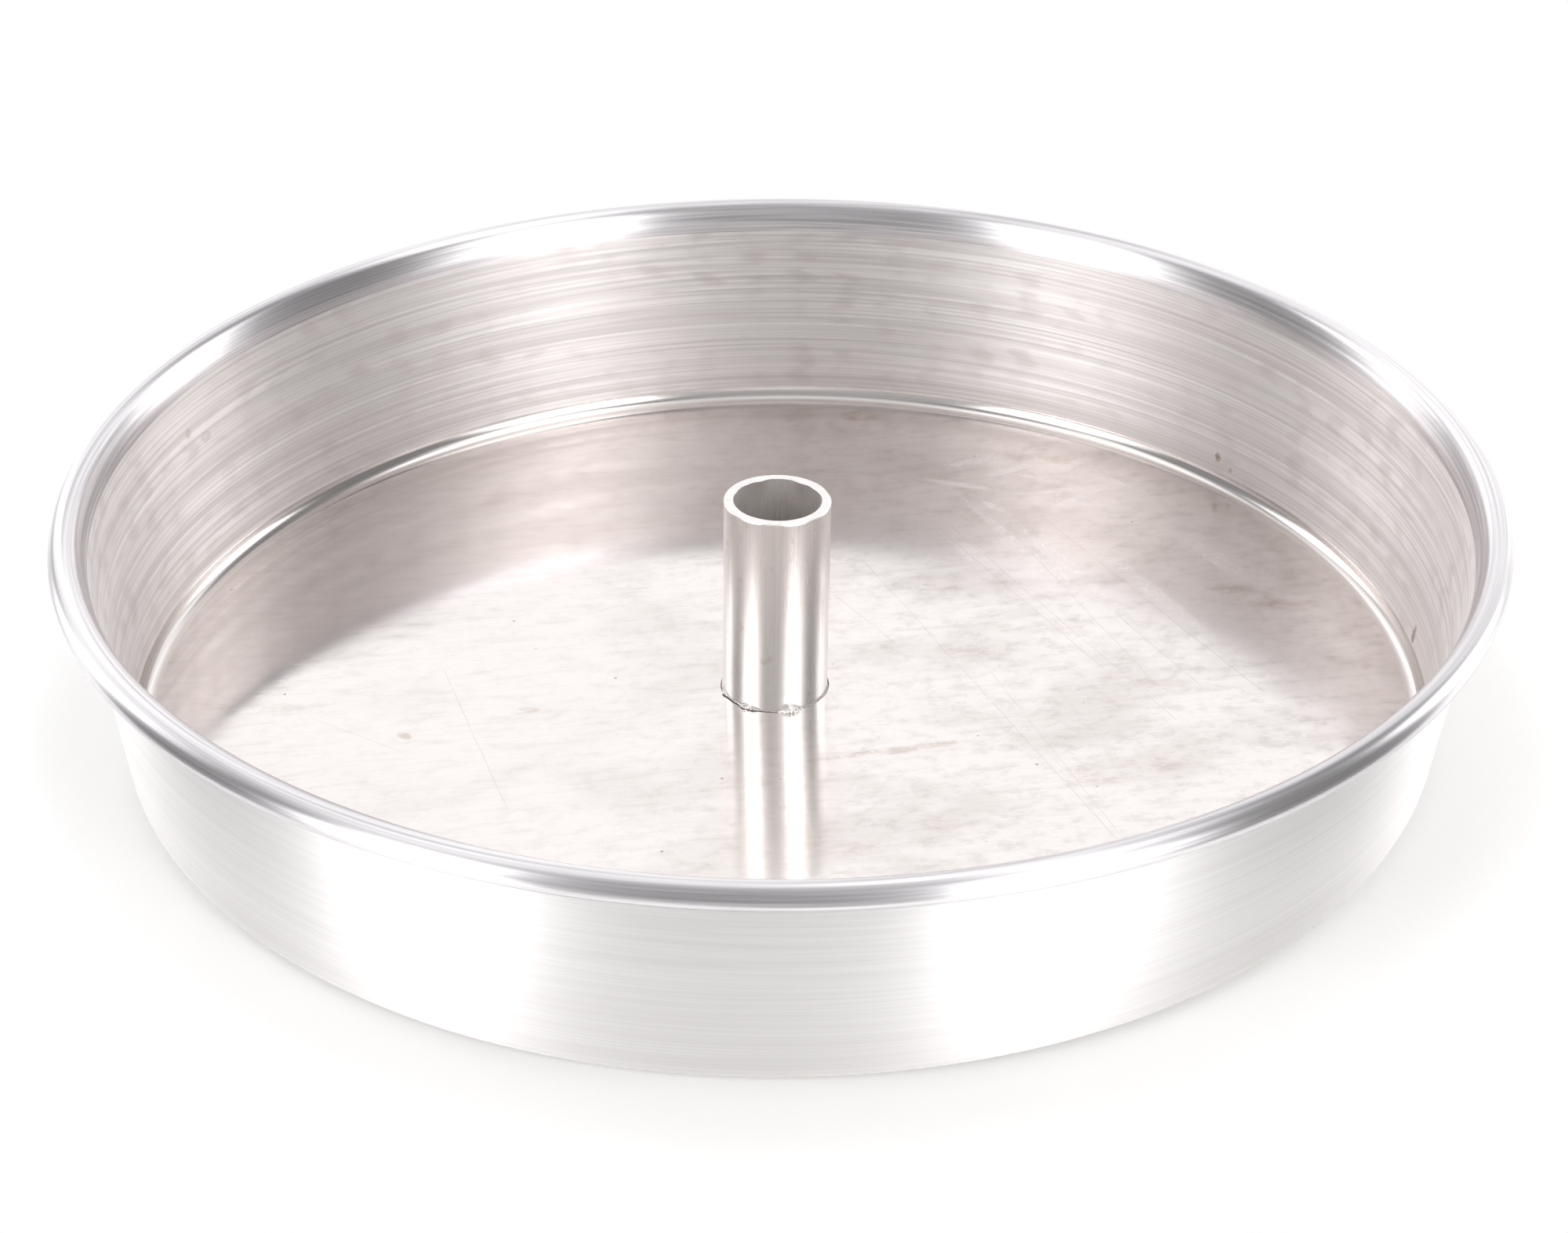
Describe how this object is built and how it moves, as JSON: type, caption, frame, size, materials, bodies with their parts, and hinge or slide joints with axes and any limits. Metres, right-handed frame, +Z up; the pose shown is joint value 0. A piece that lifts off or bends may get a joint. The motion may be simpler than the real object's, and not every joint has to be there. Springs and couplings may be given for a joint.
{
  "type": "bundt pan",
  "caption": "Round tube pan: a low spun pan with a slightly flared wall and a rolled rim, and an open tube standing at the centre of its base.",
  "frame": {"origin": "centre of the pan's resting face, on the surface that it stands on", "axes": "+Z up along the axis of the pan; the tube leans very slightly towards +X"},
  "size_m": [0.254, 0.254, 0.043],
  "materials": {
    "spun_aluminium": "satin, with fine turning lines round the wall and a lightly stained floor",
    "drawn_aluminium": "semi-bright, with fine lines along the tube and a bright sawn end",
    "ground_weld": "ground flush",
    "bright_weld": "bright, as it set"
  },
  "bodies": {
    "root": {"pan_shell": "spun_aluminium", "centre_tube": "drawn_aluminium", "tube_weld": "ground_weld", "weld_root": "bright_weld"}
  },
  "joints": []
}
